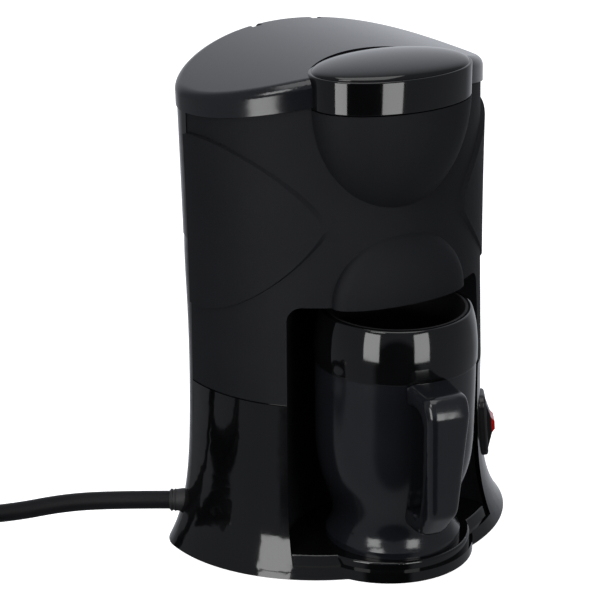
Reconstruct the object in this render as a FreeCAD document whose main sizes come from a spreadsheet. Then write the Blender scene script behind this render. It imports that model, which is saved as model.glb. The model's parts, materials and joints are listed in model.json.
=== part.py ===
import FreeCAD, Part
import math
import os
import Sketcher
from FreeCAD import Placement, Rotation, Vector

# One-cup drip coffee maker with its mug. Millimetres, X right, Y to the rear, Z up, floor at Z = 0.
doc = FreeCAD.newDocument("CoffeeMaker")
sheet = doc.addObject("Spreadsheet::Sheet", "Sizes")

SIZES = {
    # oval plan of the housing: half width, reach to the front and to the rear of its widest line
    "seam_in": 1.0, "seam_front": 69.0, "seam_rear": 34.0, "seam_y": 24.0, "seam_z": 80.0,
    "top_half": 73.5, "top_front": 61.0, "top_rear": 41.0, "top_y": 27.0, "top_z": 206.5,
    "flare_out": 13.95, "flare_fall": 18.0, "flare_front": 0.615, "flare_rear": 0.22, "flare_ahead": 0.16,
    "wall": 2.4, "parting_y": 25.0, "rear_seam_z": 148.0, "rear_proud": 0.4, "rim_z": 0.5, "plate_z": 1.5,
    "reveal_half": 0.35, "reveal_deep": 0.8,
    # the origin lies under the middle of the whole object
    "origin_shift": 11.45,
    # arched lid
    "arch_rise": 11.5, "lid_thick": 10.0, "lid_crown": 3.5, "lid_over": 1.0, "lid_skin": 2.6,
    "lid_edge_r": 5.0, "seam_gap": 0.4,
    # filter pod in front, and its cap
    "pod_half": 39.0, "pod_depth": 25.4, "pod_y": -26.0, "pod_z": 214.0, "pod_drop": 51.0,
    "cap_band": 15.0, "cap_crown": 5.5, "cap_step": 1.4,
    # spout housing above the bay, leaves on the flanks
    "shield_half": 34.0, "shield_rise": 31.0, "shield_reach": 12.0, "shield_y": -35.0,
    "leaf_out": 2.6, "leaf_low_z": 118.0, "leaf_high_z": 197.0, "leaf_tip_y": -31.0, "leaf_tip_z": 161.0,
    "leaf_bow": 12.0, "leaf_edge": 0.7,
    # bay for the mug
    "bay_mouth": 51.5, "bay_back_y": 10.0, "mug_headroom": 4.9, "bay_round": 7.0, "liner_wall": 2.0,
    "nose_r": 40.0, "nose_y": -28.0, "deck_z": 5.5, "deck_thick": 1.7,
    "tray_top_z": 10.0, "tray_inset": 1.6, "tray_edge_r": 1.2,
    # mug
    "mug_y": -33.0, "mug_lift": 0.1, "mug_foot_r": 31.0, "mug_foot_h": 3.0, "mug_waist_r": 28.2,
    "mug_waist_h": 9.0, "mug_belly_r": 36.2, "mug_belly_h": 62.0, "mug_shell_h": 86.5, "mug_wall": 2.0,
    "mug_floor": 4.0, "collar_r": 36.9, "collar_top_r": 33.0, "collar_h": 24.5, "liner_r": 31.0,
    "liner_low_r": 23.0, "liner_skin": 1.2, "handle_w": 21.0, "handle_reach": 60.0, "handle_over": 1.5,
    "handle_low_h": 17.0, "handle_bar": 9.5, "handle_turn": -9.0, "handle_bend_r": 7.0,
    "handle_edge_r": 3.5, "handle_root": 20.0, "handle_lean": 4.0, "handle_brow": 8.0, "handle_drop": 2.0,
    "handle_heel_h": 14.0, "handle_heel_in": 16.0, "handle_foot_w": 13.0,
    # rocker switch on the flank
    "switch_z": 42.0, "switch_turn": -30.6, "switch_tilt": 4.5, "bezel_h": 31.0, "bezel_w": 17.0,
    "bezel_thick": 3.2, "bezel_sink": 0.6, "bezel_corner_r": 5.0, "bezel_edge_r": 1.4,
    "window_h": 25.0, "window_w": 11.6, "switch_deep": 11.0,
    "switch_wall": 1.0, "rocker_gap": 0.4, "rocker_rise": 2.2, "rocker_pivot": 2.6, "lens_h": 8.0,
    "lens_rise": 1.6, "rocker_pin_r": 1.2, "rocker_pin_gap": 0.05,
    # base plate, feet, screws
    "plate_thick": 2.2, "plate_gap": 0.4, "foot_r": 6.5, "foot_in": 21.0, "foot_front_y": -8.0,
    "foot_rear_y": 40.0, "screw_r": 1.5, "screw_head_r": 3.0, "screw_head_h": 1.4, "screw_long": 14.0,
    "boss_r": 4.5, "boss_h": 18.0, "front_screw_in": 1.0, "front_screw_y": 12.0, "rear_screw_in": 18.0,
    "rear_screw_y": 42.5, "vent_w": 3.0, "vent_long": 26.0, "vent_step": 7.0, "vent_count": 7,
    # water side
    "tank_front_y": 4.0, "tank_clear": 8.0, "tank_top_z": 203.0, "tank_wall": 2.0, "tank_gap": 0.6,
    "pipe_r": 4.5, "pipe_bore": 3.0, "pipe_in": 24.0, "riser_y": 22.0, "feed_y": 38.0, "bend_r": 13.0,
    "hose_join": 8.0, "valve_r": 7.0, "valve_h": 20.0, "seal_r": 8.0, "seal_h": 3.0,
    "heater_z": 20.0, "heater_r": 5.0, "water_z": 30.0, "water_r": 5.5, "heater_x": 28.0,
    "arm_w": 9.0, "arm_h": 6.0, "arm_z": 205.5, "shower_r": 11.0, "shower_h": 3.0,
    "holder_half": 34.5, "holder_depth": 21.6, "holder_top_z": 199.0, "holder_low_z": 170.0,
    "holder_low_half": 12.0, "holder_low_depth": 8.0, "holder_wall": 1.6, "filter_gap": 1.2,
    "filter_skin": 0.8, "spout_r": 6.5, "spout_tip_r": 5.0, "spout_bore": 3.0, "spout_tip": 1.5,
    "thermostat_r": 8.0, "thermostat_h": 6.0, "fuse_r": 3.5, "fuse_long": 26.0,
    "bracket_w": 14.0, "bracket_thick": 1.5, "block_long": 24.0, "block_w": 12.0, "block_h": 11.0,
    "block_x": 30.0, "block_y": 34.0,
    # lid hinge
    "hinge_y": 66.0, "hinge_z": 222.4, "swing_r": 6.0, "ear_x": 16.0, "ear_w": 4.0, "ear_r": 3.0,
    "ear_gap": 0.5,
    "pin_r": 1.5, "pin_gap": 0.05, "pin_long": 14.0,
    # cord
    "cord_d": 8.5, "cord_turn": 149.4, "cord_z": 17.0, "cord_floor_z": 5.5, "grommet_long": 6.0,
    "grommet_root_r": 5.5, "grommet_tip_r": 4.6, "grommet_inner": 9.0, "lead_step": 24.8, "lead_sway": 6.0,
    "coil_r": 51.0, "coil_step": 9.1, "coil_turns": 2.25, "tie_w": 8.0, "tie_thick": 0.8, "tie_gap": 0.3,
    "plug_w": 35.0, "plug_h": 27.6, "plug_long": 34.0, "plug_sleeve_r": 6.2, "plug_sleeve": 18.0,
    "plug_pin_r": 2.4, "plug_pin_long": 19.0, "plug_pin_step": 19.0,
}
for row, (alias, value) in enumerate(SIZES.items(), start=1):
    sheet.set("A%d" % row, alias)
    sheet.set("B%d" % row, str(value))
    sheet.setAlias("B%d" % row, alias)
doc.recompute()

FAR = 400.0
UP = Vector(0, 0, 1)


def size(alias):
    return float(getattr(sheet, alias))


# Heights and widths that follow from the sizes
SEAM_HALF = size("top_half") - size("seam_in")
PIPE_X = size("pipe_in") - SEAM_HALF
BAY_TOP = size("tray_top_z") + size("mug_lift") + size("mug_shell_h") + size("collar_h") + size("mug_headroom")
SPOUT_TIP = BAY_TOP - size("spout_tip")
TANK_LOW = BAY_TOP + size("tank_clear")
HOSE_JOIN = TANK_LOW - size("hose_join")

# Sub-parts: a label names the node, and the node takes a placement of its own
nodes = []


def keep(label, item, placement=None):
    item.Label = label
    own = placement or item.Placement
    item.Placement = Placement(Vector(0, size("origin_shift"), 0), Rotation()).multiply(own)
    nodes.append(item)
    return item


def moulded(label, shape, placement=None):
    item = doc.addObject("Part::Feature", label)
    item.Shape = shape
    return keep(label, item, placement or Placement())


def sketch_on(body, role):
    sketch = body.newObject("Sketcher::SketchObject", body.Name + "Sketch")
    plane = [item for item in body.Origin.OriginFeatures if item.Role == role][0]
    sketch.AttachmentSupport = [(plane, "")]
    sketch.MapMode = "FlatFace"
    return sketch


# A closed outline whose corners are each tied to a pair of expressions
def outline(sketch, corners):
    count = len(corners)
    ring = [Vector(math.cos(k * math.tau / count), math.sin(k * math.tau / count), 0) for k in range(count)]
    first = sketch.GeometryCount
    for k in range(count):
        sketch.addGeometry(Part.LineSegment(ring[k], ring[(k + 1) % count]))
    for k in range(count):
        sketch.addConstraint(Sketcher.Constraint("Coincident", first + k, 2, first + (k + 1) % count, 1))
    for k, (across, along) in enumerate(corners):
        for kind, text in (("DistanceX", across), ("DistanceY", along)):
            start = ring[k].x if kind == "DistanceX" else ring[k].y
            index = sketch.addConstraint(Sketcher.Constraint(kind, -1, 1, first + k, 1, start))
            sketch.setExpression("Constraints[%d]" % index, text)


def turned(label, corners, placement=None):
    body = doc.addObject("PartDesign::Body", label)
    sketch = sketch_on(body, "XZ_Plane")
    outline(sketch, corners)
    turn = body.newObject("PartDesign::Revolution", label + "Turn")
    turn.Profile = sketch
    turn.ReferenceAxis = (sketch, ["V_Axis"])
    turn.Angle = 360.0
    return keep(label, body, placement or Placement())


def padded(label, role, outlines, length, placement=None):
    body = doc.addObject("PartDesign::Body", label)
    sketch = sketch_on(body, role)
    for corners in outlines:
        outline(sketch, corners)
    pad = body.newObject("PartDesign::Pad", label + "Pad")
    pad.Profile = sketch
    pad.setExpression("Length", length)
    return body, pad, placement or Placement()


def rectangle(width, height, x="0", y="0"):
    left, right = "%s - (%s) / 2" % (x, width), "%s + (%s) / 2" % (x, width)
    low, high = "%s - (%s) / 2" % (y, height), "%s + (%s) / 2" % (y, height)
    return [(left, low), (right, low), (right, high), (left, high)]


def cylinder(name, radius, height, place, direction=UP):
    item = doc.addObject("Part::Cylinder", name)
    item.setExpression("Radius", radius)
    item.setExpression("Height", height)
    item.Placement = Placement(place, Rotation(UP, direction))
    return item


def block(width, depth, height, centre):
    corner = Vector(centre.x - width / 2, centre.y - depth / 2, centre.z - height / 2)
    return Part.makeBox(width, depth, height, corner)


# Half of an oval about a centre, rear half from 0 or front half from pi, whichever axis is the longer
def half_ring(half, depth, centre, start):
    if depth <= half:
        ring = Part.Ellipse(centre + Vector(half, 0, 0), centre + Vector(0, depth, 0), centre)
        return Part.Arc(ring, start, start + math.pi).toShape()
    ring = Part.Ellipse(centre + Vector(0, depth, 0), centre - Vector(half, 0, 0), centre)
    return Part.Arc(ring, start - math.pi / 2, start + math.pi / 2).toShape()


# The housing's oval at a height, drawn in by an inset
def oval(z, inset=0.0):
    if z <= size("seam_z"):
        flare = size("flare_out") * math.exp(-z / size("flare_fall"))
        half = SEAM_HALF + flare
        front = size("seam_front") + size("flare_front") * flare
        rear = size("seam_rear") + size("flare_rear") * flare
        middle = size("seam_y") - size("flare_ahead") * flare
    else:
        rise = (z - size("seam_z")) / (size("top_z") - size("seam_z"))
        half = SEAM_HALF + (size("top_half") - SEAM_HALF) * rise ** 2
        front = size("seam_front") + (size("top_front") - size("seam_front")) * rise
        rear = size("seam_rear") + (size("top_rear") - size("seam_rear")) * rise
        middle = size("seam_y") + (size("top_y") - size("seam_y")) * rise
    centre = Vector(0, middle, z)
    back = half_ring(half - inset, rear - inset, centre, 0.0)
    fore = half_ring(half - inset, front - inset, centre, math.pi)
    return Part.Wire([back, fore])


def skin(levels, inset=0.0):
    return Part.makeLoft([oval(z, inset) for z in levels], True, False)


def ellipsoid(half, depth, rise, centre):
    ball = Part.makeSphere(1.0)
    stretch = FreeCAD.Matrix()
    stretch.scale(half, depth, rise)
    shape = ball.transformGeometry(stretch)
    shape.translate(centre)
    return shape


def ellipse_prism(half, depth, centre, height):
    ring = Part.Ellipse(centre + Vector(half, 0, 0), centre + Vector(0, depth, 0), centre)
    return Part.Face(Part.Wire(ring.toShape())).extrude(Vector(0, 0, height))


def slab(low, high):
    return Part.makeBox(2 * FAR, 2 * FAR, high - low, Vector(-FAR, -FAR, low))


def pipe(edges, radius):
    wire = Part.Wire(edges)
    start = wire.OrderedEdges[0]
    heading = start.tangentAt(start.FirstParameter)
    ring = Part.Wire(Part.makeCircle(radius, start.valueAt(start.FirstParameter), heading))
    return wire.makePipeShell([ring], True, False)


# Levels of the lofted skin, and the cutters that part it
FRONT = Part.makeBox(2 * FAR, FAR + size("parting_y"), 2 * FAR, Vector(-FAR, -FAR, -FAR))
REAR = Part.makeBox(2 * FAR, FAR, 2 * FAR, Vector(-FAR, size("parting_y"), -FAR))
LID_TOP_Z = size("top_z") + size("arch_rise") + size("lid_thick") + size("lid_crown") + size("lid_edge_r")
FLARE_STEPS = (0.0, 0.15, 0.4, 0.8, 1.4, 2.4)
LOW_LEVELS = [size("rim_z") + size("flare_fall") * k for k in FLARE_STEPS] + [size("seam_z")]
HIGH_LEVELS = [size("seam_z"), (size("seam_z") + size("top_z")) / 2, size("top_z"), LID_TOP_Z]
UNDER_LEVELS = [-1.0] + LOW_LEVELS[1:]
low_skin = skin(LOW_LEVELS)
low_hollow = skin(UNDER_LEVELS, size("wall"))
high_skin = skin(HIGH_LEVELS)
high_hollow = skin(HIGH_LEVELS, size("wall"))

ARCH_R = (size("top_half") ** 2 + size("arch_rise") ** 2) / (2 * size("arch_rise"))
ARCH_Z = size("top_z") + size("arch_rise") - ARCH_R


def under_arch(offset):
    barrel = Part.makeCylinder(ARCH_R + offset, 2 * FAR, Vector(0, -FAR, ARCH_Z), Vector(0, 1, 0))
    barrel.rotate(Vector(0, 0, ARCH_Z), Vector(0, 1, 0), 180)
    return barrel


LID_RISE = size("arch_rise") + size("lid_crown")
LID_R = (size("top_half") ** 2 + LID_RISE ** 2) / (2 * LID_RISE)
LID_Z = size("top_z") + size("lid_thick") + LID_RISE - LID_R


def under_crown(inset):
    barrel = Part.makeCylinder(LID_R - inset, 2 * FAR, Vector(0, -FAR, LID_Z), Vector(0, 1, 0))
    barrel.rotate(Vector(0, 0, LID_Z), Vector(0, 1, 0), 180)
    return barrel


JAMB_Y = size("seam_y") - size("seam_front") * math.sqrt(1 - (size("bay_mouth") / SEAM_HALF) ** 2)
BAY_SAG = size("bay_back_y") - JAMB_Y
BAY_R = (size("bay_mouth") ** 2 + BAY_SAG ** 2) / (2 * BAY_SAG)
BAY_CENTRE = Vector(0, size("bay_back_y") - BAY_R, 0)


def bay(radius, low, high):
    return Part.makeCylinder(radius, high - low, BAY_CENTRE + Vector(0, 0, low))


bay_cut = bay(BAY_R, size("deck_z"), BAY_TOP)
bay_roof_edge = [edge for edge in bay_cut.Edges if edge.BoundBox.ZMin > BAY_TOP - 1]
bay_cut = bay_cut.makeFillet(size("bay_round"), [edge for edge in bay_roof_edge if len(edge.Vertexes) == 1])


# Switch frame: its own X is along the flank, Y is up and Z is outwards
def flank_point(turn, z):
    flare = size("flare_out") * math.exp(-z / size("flare_fall"))
    half = SEAM_HALF + flare
    if math.sin(turn) < 0:
        reach = size("seam_front") + size("flare_front") * flare
    else:
        reach = size("seam_rear") + size("flare_rear") * flare
    scale = math.hypot(half * math.cos(turn), reach * math.sin(turn))
    x, y = half ** 2 * math.cos(turn) / scale, reach ** 2 * math.sin(turn) / scale
    return Vector(x, size("seam_y") - size("flare_ahead") * flare + y, z)


switch_turn = math.radians(size("switch_turn"))
switch_out = Rotation(UP, size("switch_turn")).multVec(Vector(1, 0, 0))
along_flank = UP.cross(switch_out)
switch_up = Rotation(along_flank, -size("switch_tilt")).multVec(UP)
switch_normal = along_flank.cross(switch_up)
switch_place = Placement(
    flank_point(switch_turn, size("switch_z")) - switch_normal * size("bezel_sink"),
    Rotation(along_flank, switch_up, switch_normal, "ZXY"),
)

blank, pad, place = padded(
    "bezel_blank", "XY_Plane",
    [rectangle("Sizes.bezel_w", "Sizes.bezel_h"), rectangle("Sizes.window_w", "Sizes.window_h")],
    "Sizes.bezel_thick")
doc.recompute()


def on_brim(edge):
    box = edge.BoundBox
    across, along = max(box.XMax, -box.XMin), max(box.YMax, -box.YMin)
    return across > size("bezel_w") / 2 - 0.01 or along > size("bezel_h") / 2 - 0.01


bezel = blank.Shape.makeFillet(size("bezel_corner_r"), [
    edge for edge in blank.Shape.Edges if on_brim(edge) and edge.BoundBox.ZLength > size("bezel_thick") - 0.01])
bezel = bezel.makeFillet(size("bezel_edge_r"), [
    edge for edge in bezel.Edges if on_brim(edge) and edge.BoundBox.ZMin > size("bezel_thick") - 0.01])
moulded("switch_bezel", bezel, switch_place)
body, pad, place = padded(
    "switch_body", "XY_Plane",
    [rectangle("Sizes.window_w + 2 * Sizes.switch_wall", "Sizes.window_h + 2 * Sizes.switch_wall")],
    "Sizes.switch_deep", switch_place)
pad.Reversed = True
cavity = sketch_on(body, "XY_Plane")
outline(cavity, rectangle("Sizes.window_w", "Sizes.window_h"))
pocket = body.newObject("PartDesign::Pocket", "switch_cavity")
pocket.Profile = cavity
pocket.setExpression("Length", "Sizes.switch_deep - Sizes.switch_wall")
keep("switch_body", body, place)

# Rocker paddle on its pivot, with the lens on its crown
paddle_w = "Sizes.window_w - 2 * Sizes.rocker_gap"
tip, crown, low = "Sizes.bezel_thick", "Sizes.bezel_thick + Sizes.rocker_rise", "-Sizes.rocker_pivot - 2"
rocker, pad, place = padded(
    "rocker_blank", "YZ_Plane",
    [[("-Sizes.window_h / 2 + 2 * Sizes.rocker_gap", tip), ("-Sizes.lens_h / 2", crown),
      ("Sizes.lens_h / 2", crown), ("Sizes.window_h / 2 - 2 * Sizes.rocker_gap", tip),
      ("Sizes.window_h / 2 - 5 * Sizes.rocker_gap", low + " + 3"), ("Sizes.lens_h / 2", low),
      ("-Sizes.lens_h / 2", low), ("-Sizes.window_h / 2 + 5 * Sizes.rocker_gap", low + " + 3")]],
    paddle_w, switch_place)
pad.Midplane = True
doc.recompute()
pivot_start = Vector(-size("window_w") / 2, 0, -size("rocker_pivot"))
pivot_r = size("rocker_pin_r") + size("rocker_pin_gap")
pivot_hole = Part.makeCylinder(pivot_r, size("window_w"), pivot_start, Vector(1, 0, 0))
moulded("switch_rocker", rocker.Shape.cut(pivot_hole), switch_place)
pin_start = switch_place.multVec(pivot_start)
keep("switch_pin", cylinder("switch_pin", "Sizes.rocker_pin_r", "Sizes.window_w", pin_start, along_flank))
lens, pad, place = padded(
    "switch_lens", "YZ_Plane",
    [[("-Sizes.lens_h / 2", crown), ("Sizes.lens_h / 2", crown),
      ("Sizes.lens_h / 4", crown + " + Sizes.lens_rise"), ("-Sizes.lens_h / 4", crown + " + Sizes.lens_rise")]],
    paddle_w + " - 1", switch_place)
pad.Midplane = True
keep("switch_lens", lens, place)

doc.recompute()
bezel_seat = bezel.copy()
bezel_seat.Placement = switch_place
switch_seat = bezel_seat.fuse(block(
    size("window_w") + 2 * size("switch_wall"), size("window_h") + 2 * size("switch_wall"),
    2 * size("switch_deep"), Vector(0, 0, 0)).transformGeometry(switch_place.toMatrix()))

# Cord exit on the rear flank, and the grommet's axis
cord_turn = math.radians(size("cord_turn"))
cord_out = Vector(math.cos(cord_turn), math.sin(cord_turn), 0)
cord_root = flank_point(cord_turn, size("cord_z"))
grommet_start = cord_root - cord_out * size("grommet_inner")
grommet_hole = Part.makeCylinder(size("grommet_root_r"), 4 * size("grommet_inner"), grommet_start, cord_out)


def boss(x, y):
    root = size("plate_z") + size("plate_thick")
    solid = Part.makeCylinder(size("boss_r"), size("boss_h"), Vector(x, y, root))
    return solid.cut(Part.makeCylinder(size("screw_r"), size("screw_long"), Vector(x, y, root)))


FRONT_SCREWS = [(side * (SEAM_HALF - size("front_screw_in")), size("front_screw_y")) for side in (-1, 1)]
REAR_SCREWS = [(side * (SEAM_HALF - size("rear_screw_in")), size("rear_screw_y")) for side in (-1, 1)]

# Shadow line where front shell and base shell meet
reveal = slab(size("seam_z") - size("reveal_half"), size("seam_z") + size("reveal_half"))
reveal = reveal.cut(skin([size("seam_z") - size("wall"), size("seam_z") + size("wall")], size("reveal_deep")))

# Base shell: skirt, deck under the tray and round nose
nose_foot = Vector(0, size("nose_y"), size("rim_z"))
nose_high = size("deck_z") - size("rim_z")
nose = Part.makeCylinder(size("nose_r"), nose_high, nose_foot)
nose_hollow = Part.makeCylinder(size("nose_r") - size("wall"), nose_high - size("deck_thick"), nose_foot)
deck = low_skin.common(bay(BAY_R, size("deck_z") - size("deck_thick"), size("deck_z")))
skirt = low_skin.cut(low_hollow).cut(bay_cut)
base_shell = skirt.fuse([deck, nose]).cut(nose_hollow.cut(low_skin)).common(FRONT)
base_shell = base_shell.cut(low_hollow.common(slab(-FAR, size("deck_z") - size("deck_thick"))))
front_bosses = [boss(x, y).common(low_skin) for x, y in FRONT_SCREWS]
base_shell = base_shell.fuse(front_bosses).cut(switch_seat).cut(reveal).removeSplitter()
moulded("base_shell", base_shell)

# Front shell: half tower with filter pod, flank leaves, spout housing and bay roof
pod_centre = Vector(0, size("pod_y"), size("pod_z"))


def pod(inset, top):
    bowl = ellipsoid(size("pod_half") - inset, size("pod_depth") - inset, size("pod_drop") - inset, pod_centre)
    bowl = bowl.common(slab(0, size("pod_z")))
    if top == 0:
        return bowl
    return bowl.fuse(ellipse_prism(size("pod_half") - inset, size("pod_depth") - inset, pod_centre, top))


def leaf(side):
    rear = size("parting_y")
    tip = Vector(0, size("leaf_tip_y"), size("leaf_tip_z"))
    high, low = Vector(0, rear, size("leaf_high_z")), Vector(0, rear, size("leaf_low_z"))
    bow = size("leaf_bow")
    upper = Part.Arc(high, (high + tip) / 2 + Vector(0, -bow / 2, bow), tip).toShape()
    under = Part.Arc(tip, (low + tip) / 2 + Vector(0, -bow / 2, -bow), low).toShape()
    blank = Part.Face(Part.Wire([upper, under, Part.LineSegment(low, high).toShape()]))
    prism = blank.extrude(Vector(side * FAR, 0, 0))
    middle = (size("leaf_low_z") + size("leaf_high_z")) / 2
    puffed = [(size("leaf_low_z") - size("leaf_bow"), -size("leaf_edge")), (middle, -size("leaf_out") / 2),
              (size("leaf_high_z") + size("leaf_bow"), -size("leaf_out"))]
    return Part.makeLoft([oval(z, inset) for z, inset in puffed], True, False).common(prism)


shield_centre = Vector(0, size("shield_y"), BAY_TOP)
shield = ellipsoid(size("shield_half"), size("shield_reach"), size("shield_rise"), shield_centre)
shield = shield.common(slab(BAY_TOP, FAR))
tower = high_skin.common(under_arch(0)).common(FRONT)
tower = tower.cut(ellipse_prism(size("pod_half"), size("pod_depth"), pod_centre, FAR))
tower = tower.fuse([pod(0, 0), shield, leaf(-1).common(FRONT), leaf(1).common(FRONT)])
roof = high_hollow.common(bay(BAY_R + size("liner_wall"), BAY_TOP, BAY_TOP + size("wall")))
tower_hollow = high_hollow.cut(pod(0, 0)).cut(roof)

arm_end = Vector(0, size("pod_y"), size("arm_z"))
arm_start = Vector(PIPE_X, size("riser_y"), size("arm_z"))
arm_run = arm_end - arm_start


def arm_bar(spare):
    bar = Part.makeBox(arm_run.Length + 2 * size("arm_w"), size("arm_w") + 2 * spare, size("arm_h") + 2 * spare,
                       Vector(-size("arm_w"), -size("arm_w") / 2 - spare, -spare))
    bar.Placement = Placement(arm_start, Rotation(Vector(1, 0, 0), arm_run))
    return bar


arm_notch = arm_bar(size("tank_gap")).fuse(arm_bar(size("tank_gap")).translated(Vector(0, 0, size("arm_h"))))
spout_top = Vector(0, size("pod_y"), size("pod_z") - size("pod_drop"))
spout_hole = Part.makeCylinder(size("spout_r") + size("seam_gap"), FAR, Vector(0, size("pod_y"), size("wall")))
spout_hole = spout_hole.common(slab(BAY_TOP - 1, size("holder_low_z")))
front_shell = tower.cut(tower_hollow).cut(pod(size("wall"), FAR)).cut(bay_cut).cut(spout_hole).cut(arm_notch)
front_shell = front_shell.cut(reveal)
moulded("front_shell", front_shell)

# Rear shells, with the hinge ears on the upper one
rear_levels = LOW_LEVELS + [(size("seam_z") + size("rear_seam_z")) / 2, size("rear_seam_z")]
rear_cover = skin(rear_levels).cut(skin([-1.0] + rear_levels[1:-1] + [rear_levels[-1] + 1], size("wall")))
rear_cover = rear_cover.common(REAR).fuse([boss(x, y).common(low_skin) for x, y in REAR_SCREWS])
moulded("rear_cover", rear_cover.cut(grommet_hole).removeSplitter())

upper_levels = [size("rear_seam_z"), (size("rear_seam_z") + size("top_z")) / 2, size("top_z"), LID_TOP_Z]
hinge_line = Vector(0, size("hinge_y"), size("hinge_z"))


def ear(side):
    foot_z = size("top_z")
    left = side * size("ear_x") - size("ear_w") / 2
    post = Part.makeBox(size("ear_w"), 2 * size("ear_r"), size("hinge_z") - foot_z,
                        Vector(left, size("hinge_y") - size("ear_r"), foot_z))
    eye = Part.makeCylinder(size("ear_r"), size("ear_w"), hinge_line + Vector(left, 0, 0), Vector(1, 0, 0))
    hole = Part.makeCylinder(size("pin_r"), size("ear_w"), hinge_line + Vector(left, 0, 0), Vector(1, 0, 0))
    return post.fuse(eye).cut(hole)


upper_rear = skin(upper_levels, -size("rear_proud")).cut(skin(HIGH_LEVELS, size("wall"))).common(REAR)
swing_start = hinge_line - Vector(2 * size("ear_x"), 0, 0)
swing_room = Part.makeCylinder(size("swing_r"), 4 * size("ear_x"), swing_start, Vector(1, 0, 0))
upper_rear = upper_rear.common(under_arch(0)).cut(swing_room).fuse([ear(-1), ear(1)])
moulded("rear_upper_cover", upper_rear.removeSplitter())

# Lid panel: arched slab with a rounded top edge, hollow below, notched for the ears
lid_levels = [size("top_z") - size("lid_thick"), size("top_z"), LID_TOP_Z]
lid_blank = skin(lid_levels, -size("lid_over")).common(under_crown(0)).cut(under_arch(size("seam_gap")))
crest = [edge for edge in lid_blank.Edges
         if all(abs(math.hypot(v.X, v.Z - LID_Z) - LID_R) < 0.01 for v in edge.Vertexes)]
lid_panel = lid_blank.makeFillet(size("lid_edge_r"), crest)
lid_core = skin(lid_levels, size("lid_skin")).common(under_crown(size("lid_skin")))
knuckle_zone = block(2 * size("ear_x") + 2 * size("pin_long"), 6 * size("ear_r"), FAR, hinge_line)
lid_panel = lid_panel.cut(lid_core.cut(knuckle_zone))
lid_panel = lid_panel.cut(ellipse_prism(size("pod_half"), size("pod_depth"), Vector(0, size("pod_y"), 0), FAR))
for side in (-1, 1):
    gap = size("ear_gap")
    notch = block(size("ear_w") + 2 * gap, FAR, FAR, hinge_line + Vector(side * size("ear_x"), 0, 0))
    notch.translate(Vector(0, FAR / 2 - size("ear_r") - gap, 0))
    hole_start = hinge_line + Vector(side * size("ear_x") - size("pin_long") / 2, 0, 0)
    notch = notch.fuse(Part.makeCylinder(size("pin_r") + size("pin_gap"), size("pin_long"), hole_start,
                                         Vector(1, 0, 0)))
    lid_panel = lid_panel.cut(notch)
moulded("lid_panel", lid_panel.removeSplitter())

pins = [Part.makeCylinder(size("pin_r"), size("pin_long"),
                          hinge_line + Vector(side * size("ear_x") - size("pin_long") / 2, 0, 0), Vector(1, 0, 0))
        for side in (-1, 1)]
moulded("lid_hinge_pins", Part.makeCompound(pins))

# Lid cap: gloss band and low crown over the pod
cap_foot = pod_centre + Vector(0, 0, size("seam_gap"))
cap_high = size("cap_band") - size("seam_gap")
cap_top = pod_centre + Vector(0, 0, size("cap_band"))


def cap(inset, step):
    band = ellipse_prism(size("pod_half") - inset, size("pod_depth") - inset, cap_foot, cap_high)
    dome = ellipsoid(size("pod_half") - inset - step, size("pod_depth") - inset - step,
                     size("cap_crown") - inset / 2, cap_top).common(slab(cap_top.z, FAR))
    return band.fuse(dome)


moulded("lid_cap", cap(0, size("cap_step")).cut(cap(size("wall"), size("cap_step"))).removeSplitter())

# Bay liner and mug tray
liner = bay(BAY_R + size("liner_wall"), size("deck_z"), BAY_TOP).cut(bay(BAY_R, 0, FAR))
inside = skin(UNDER_LEVELS, size("wall")).fuse(skin(HIGH_LEVELS, size("wall")))
liner = liner.common(inside).common(FRONT)
moulded("bay_liner", liner.cut(bay_cut).removeSplitter())

tray_r = size("nose_r") - size("tray_inset")
tray_high = size("tray_top_z") - size("deck_z")
tray_floor = skin([size("deck_z"), size("tray_top_z")], size("tray_inset")).common(
    bay(BAY_R - size("seam_gap"), size("deck_z"), size("tray_top_z")))
tray_nose = Part.makeCylinder(tray_r, tray_high, Vector(0, size("nose_y"), size("deck_z")))
behind_jambs = Part.makeBox(2 * FAR, FAR, FAR, Vector(-FAR, JAMB_Y, 0))
tray = tray_floor.fuse(tray_nose.cut(behind_jambs.cut(bay(BAY_R - size("seam_gap"), 0, FAR))))
tray = tray.removeSplitter()
tray_edges = [edge for edge in tray.Edges if edge.BoundBox.ZMin > size("tray_top_z") - 0.01]
moulded("mug_tray", tray.makeFillet(size("tray_edge_r"), tray_edges))

# Base plate with vent slots and screw seats, feet, screws
plate_rim = Part.Face(oval(size("plate_z") + size("plate_thick"), size("wall") + size("plate_gap")))
plate = plate_rim.extrude(Vector(0, 0, -size("plate_thick")))
for k in range(int(size("vent_count"))):
    x = (k - (size("vent_count") - 1) / 2) * size("vent_step")
    plate = plate.cut(block(size("vent_w"), size("vent_long"), FAR, Vector(x, size("seam_y"), 0)))
for x, y in FRONT_SCREWS + REAR_SCREWS:
    seat_r = size("screw_head_r") + size("plate_gap")
    seat = Part.makeCylinder(seat_r, size("screw_head_h"), Vector(x, y, size("plate_z")))
    plate = plate.cut(seat.fuse(Part.makeCylinder(size("screw_r"), FAR, Vector(x, y, -FAR / 2))))
moulded("base_plate", plate)

feet = []
for x in (size("foot_in") - SEAM_HALF, SEAM_HALF - size("foot_in")):
    for y in (size("foot_front_y"), size("foot_rear_y")):
        feet.append(cylinder("Foot", "Sizes.foot_r", "Sizes.plate_z", Vector(x, y, 0)))
group = doc.addObject("Part::Compound", "feet")
group.Links = feet
keep("feet", group)

screws = []
for x, y in FRONT_SCREWS + REAR_SCREWS:
    head = Part.makeCylinder(size("screw_head_r"), size("screw_head_h"), Vector(x, y, size("plate_z")))
    shank = Part.makeCylinder(size("screw_r"), size("screw_long"), Vector(x, y, size("plate_z")))
    screws.append(head.fuse(shank))
moulded("base_screws", Part.makeCompound(screws))

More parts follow.
